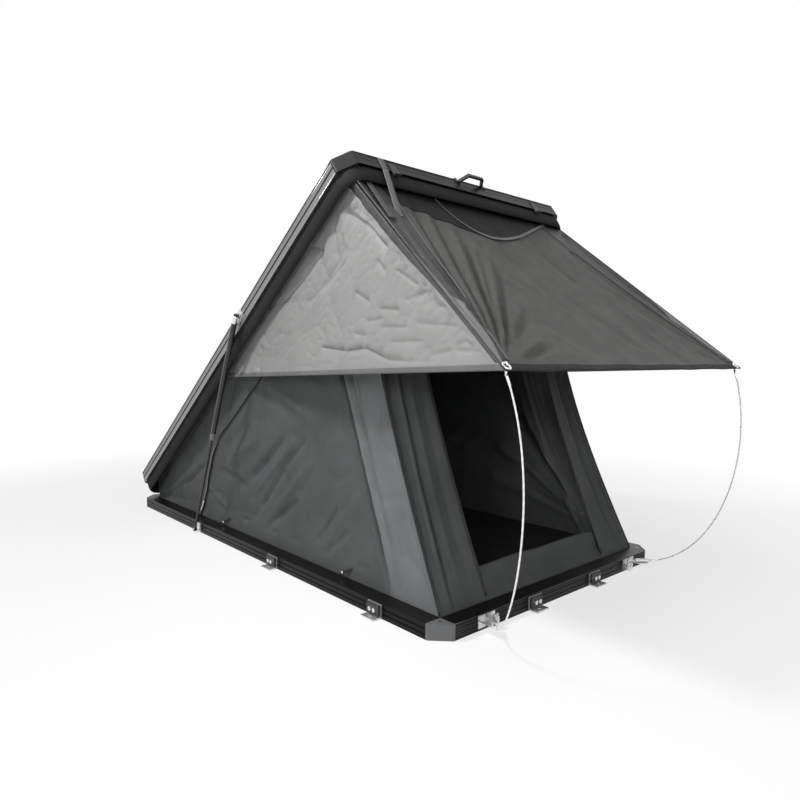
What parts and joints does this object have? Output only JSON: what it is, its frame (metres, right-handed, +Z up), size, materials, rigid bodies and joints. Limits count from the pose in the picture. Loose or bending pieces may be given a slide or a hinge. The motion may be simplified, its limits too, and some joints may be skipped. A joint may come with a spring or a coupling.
{
  "type": "roof top tent",
  "caption": "Hard-shell wedge roof top tent, open: a base with mattress, a strutted lid on rear hinges, canvas walls and a pole-held awning over the door.",
  "frame": {"origin": "centre of the base underside, which sits on the roof bars", "axes": "+X towards the door end, -Y the left side, +Z up"},
  "size_m": [2.6054, 1.366, 1.4866],
  "materials": {
    "dark_alloy": "black anodised, satin",
    "grey_alloy": "clear anodised, satin",
    "casting": "powder coated, fine texture",
    "roof_skin": "satin skin over a light core",
    "floor_skin": "matte skin over a light core",
    "stainless": "brushed",
    "bright_steel": "polished",
    "black_steel": "powder coated",
    "rubber": "matte",
    "canvas": "woven poly-cotton",
    "fly_cloth": "coated, slightly glossy",
    "awning_cloth": "coated, slightly glossy",
    "webbing": "woven webbing",
    "foam": "knitted cover",
    "pole": "white glass-fibre rod",
    "black_plastic": "moulded"
  },
  "bodies": {
    "base": {"floor_panel": "floor_skin", "base_rail_front": "dark_alloy", "base_rail_rear": "dark_alloy", "base_rail_left": "dark_alloy", "base_rail_right": "dark_alloy", "base_corners": "casting", "base_corner_screws": "bright_steel", "mattress": "foam", "mount_brackets": "stainless", "mount_clamps": "black_steel", "mount_bolts": "bright_steel", "hinge_base_leaves": "black_steel", "hinge_pins": "bright_steel", "strut_base_brackets": "stainless", "latch_plates": "stainless", "latch_pins": "bright_steel", "pole_brackets": "stainless", "side_wall_left": "canvas", "side_wall_right": "canvas", "front_wall": "canvas", "rear_wall": "canvas", "wall_hooks": "black_steel", "window_zip_left": "webbing", "window_zip_right": "webbing"},
    "lid": {"lid_panel": "roof_skin", "lid_rail_front": "dark_alloy", "lid_rail_rear": "dark_alloy", "lid_rail_left": "grey_alloy", "lid_rail_right": "grey_alloy", "lid_corners": "casting", "lid_corner_screws": "bright_steel", "lid_seal": "rubber", "lid_handle": "black_plastic", "handle_screws": "bright_steel", "hinge_lid_leaves": "black_steel", "strut_lid_brackets": "stainless", "latch_keepers": "stainless", "lid_straps": "webbing"},
    "fly_sides": {"fly_side_left": "fly_cloth", "fly_side_right": "fly_cloth", "awning_pole_left": "pole", "awning_pole_right": "pole"},
    "awning": {"awning_panel": "awning_cloth", "awning_eyelets": "bright_steel", "awning_keder": "webbing", "pull_strap": "webbing"},
    "strut_rod_left": {"strut_rod_left": "black_steel"},
    "strut_rod_right": {"strut_rod_right": "black_steel"},
    "strut_tube_left": {"strut_tube_left": "black_steel"},
    "strut_tube_right": {"strut_tube_right": "black_steel"},
    "latch_lever_left": {"latch_lever_left": "stainless"},
    "latch_lever_right": {"latch_lever_right": "stainless"},
    "latch_bail_left": {"latch_bail_left": "bright_steel"},
    "latch_bail_right": {"latch_bail_right": "bright_steel"}
  },
  "joints": [
    {"name": "lid_hinge", "type": "hinge", "parent": "base", "child": "lid", "pos_m": [-1.165, 0, 0.06], "axis": [0, 1, 0], "range_deg": [0, 36.1], "deforming": ["side_wall_left", "side_wall_right", "front_wall", "rear_wall", "window_zip_left", "window_zip_right", "lid_straps", "pull_strap", "fly_side_left", "fly_side_right", "awning_pole_left", "awning_pole_right", "awning_panel", "awning_eyelets"]},
    {"name": "strut_pivot_left", "type": "hinge", "parent": "base", "child": "strut_rod_left", "pos_m": [-0.427, -0.618, 0.014], "axis": [0, 1, 0], "range_deg": [0, 58.99]},
    {"name": "strut_slide_left", "type": "slide", "parent": "strut_rod_left", "child": "strut_tube_left", "axis": [0.3964, 0, 0.9181], "range_m": [-0.3056, 0]},
    {"name": "strut_pivot_right", "type": "hinge", "parent": "base", "child": "strut_rod_right", "pos_m": [-0.427, 0.618, 0.014], "axis": [0, 1, 0], "range_deg": [0, 58.99]},
    {"name": "strut_slide_right", "type": "slide", "parent": "strut_rod_right", "child": "strut_tube_right", "axis": [0.3964, 0, 0.9181], "range_m": [-0.3056, 0]},
    {"name": "fly_fold", "type": "hinge", "parent": "lid", "child": "fly_sides", "pos_m": [0.63857, 0, 1.38508], "axis": [0, 1, 0], "range_deg": [0, 17.05]},
    {"name": "awning_fold", "type": "hinge", "parent": "lid", "child": "awning", "pos_m": [0.63857, 0, 1.38508], "axis": [0, 1, 0], "range_deg": [0, 105.6]},
    {"name": "latch_lever_left_pivot", "type": "hinge", "parent": "base", "child": "latch_lever_left", "pos_m": [1.14, -0.39, 0.014], "axis": [0, 1, 0], "range_deg": [0, 95]},
    {"name": "latch_bail_left_swing", "type": "hinge", "parent": "latch_lever_left", "child": "latch_bail_left", "pos_m": [1.148, -0.39, 0.034], "axis": [0, -1, 0], "range_deg": [0, 165]},
    {"name": "latch_lever_right_pivot", "type": "hinge", "parent": "base", "child": "latch_lever_right", "pos_m": [1.14, 0.39, 0.014], "axis": [0, 1, 0], "range_deg": [0, 95]},
    {"name": "latch_bail_right_swing", "type": "hinge", "parent": "latch_lever_right", "child": "latch_bail_right", "pos_m": [1.148, 0.39, 0.034], "axis": [0, -1, 0], "range_deg": [0, 165]}
  ],
  "couplings": [
    {"joint": "strut_pivot_left", "follows": "lid_hinge", "ratio": 1.6327},
    {"joint": "strut_slide_left", "follows": "lid_hinge", "m_per_rad": -0.48424},
    {"joint": "strut_pivot_right", "follows": "lid_hinge", "ratio": 1.6327},
    {"joint": "strut_slide_right", "follows": "lid_hinge", "m_per_rad": -0.48424},
    {"joint": "fly_fold", "follows": "lid_hinge", "ratio": 0.47091},
    {"joint": "awning_fold", "follows": "lid_hinge", "ratio": 2.9224}
  ]
}
